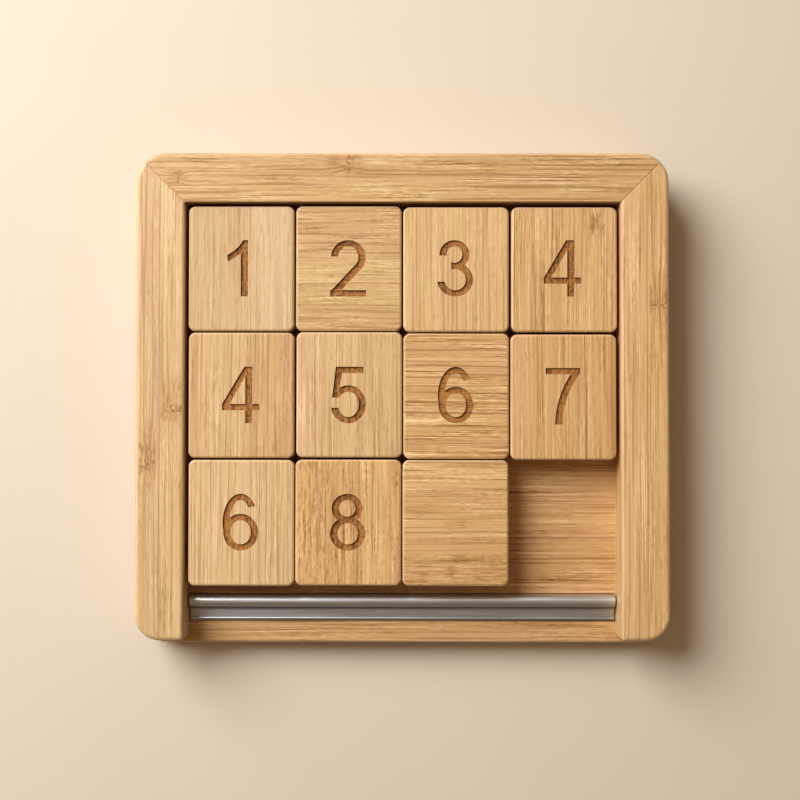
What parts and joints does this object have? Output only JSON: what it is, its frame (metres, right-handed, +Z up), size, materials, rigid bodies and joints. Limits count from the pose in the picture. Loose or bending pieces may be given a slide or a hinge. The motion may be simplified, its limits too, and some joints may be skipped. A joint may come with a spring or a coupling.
{
  "type": "sliding tile puzzle",
  "caption": "Open bamboo tray with mitred rails, a metal stop rail, engraved number tiles that slide, and one empty cell.",
  "frame": {"origin": "on the table under the middle of the tray", "axes": "+X to the right of a person reading the digits, +Y away from them towards the back rail, +Z up"},
  "size_m": [0.149, 0.138, 0.0195],
  "materials": {
    "base_bamboo": "satin oiled laminated bamboo, grain along X",
    "rail_bamboo": "satin oiled laminated bamboo, strips along each rail",
    "tile_upright_grain": "satin bamboo, grain along Y, burnt engraving",
    "tile_level_grain": "satin bamboo, grain along X, burnt engraving",
    "key_wood": "plain hardwood",
    "stop_aluminium": "brushed lengthwise, satin",
    "screw_steel": "zinc plated",
    "foot_rubber": "matt black"
  },
  "bodies": {
    "tray": {"base_board": "base_bamboo", "left_rail": "rail_bamboo", "right_rail": "rail_bamboo", "back_rail": "rail_bamboo", "mitre_key_left": "key_wood", "mitre_key_right": "key_wood", "stop_rail": "stop_aluminium", "rail_screws": "screw_steel", "stop_rail_screws": "screw_steel", "foot_front_left": "foot_rubber", "foot_front_right": "foot_rubber", "foot_back_left": "foot_rubber", "foot_back_right": "foot_rubber"},
    "tile_1": {"tile_1": "tile_upright_grain"},
    "tile_2": {"tile_2": "tile_level_grain"},
    "tile_3": {"tile_3": "tile_upright_grain"},
    "tile_4_first_row": {"tile_4_first_row": "tile_upright_grain"},
    "tile_4_second_row": {"tile_4_second_row": "tile_upright_grain"},
    "tile_5": {"tile_5": "tile_upright_grain"},
    "tile_6_second_row": {"tile_6_second_row": "tile_level_grain"},
    "tile_7": {"tile_7": "tile_upright_grain"},
    "tile_6_third_row": {"tile_6_third_row": "tile_upright_grain"},
    "tile_8": {"tile_8": "tile_upright_grain"},
    "tile_blank": {"tile_blank": "tile_level_grain"}
  },
  "joints": [
    {"name": "tile_1_lift", "type": "slide", "parent": "tray", "child": "tile_1", "axis": [0, 0, 1], "range_m": [0, 0.02]},
    {"name": "tile_2_lift", "type": "slide", "parent": "tray", "child": "tile_2", "axis": [0, 0, 1], "range_m": [0, 0.02]},
    {"name": "tile_3_lift", "type": "slide", "parent": "tray", "child": "tile_3", "axis": [0, 0, 1], "range_m": [0, 0.02]},
    {"name": "tile_4_first_row_lift", "type": "slide", "parent": "tray", "child": "tile_4_first_row", "axis": [0, 0, 1], "range_m": [0, 0.02]},
    {"name": "tile_4_second_row_lift", "type": "slide", "parent": "tray", "child": "tile_4_second_row", "axis": [0, 0, 1], "range_m": [0, 0.02]},
    {"name": "tile_5_lift", "type": "slide", "parent": "tray", "child": "tile_5", "axis": [0, 0, 1], "range_m": [0, 0.02]},
    {"name": "tile_6_second_row_lift", "type": "slide", "parent": "tray", "child": "tile_6_second_row", "axis": [0, 0, 1], "range_m": [0, 0.02]},
    {"name": "tile_7_slide", "type": "slide", "parent": "tray", "child": "tile_7", "axis": [0, 1, 0], "range_m": [-0.0382, 0]},
    {"name": "tile_6_third_row_lift", "type": "slide", "parent": "tray", "child": "tile_6_third_row", "axis": [0, 0, 1], "range_m": [0, 0.02]},
    {"name": "tile_8_lift", "type": "slide", "parent": "tray", "child": "tile_8", "axis": [0, 0, 1], "range_m": [0, 0.02]},
    {"name": "tile_blank_slide", "type": "slide", "parent": "tray", "child": "tile_blank", "axis": [1, 0, 0], "range_m": [0, 0.031]}
  ]
}
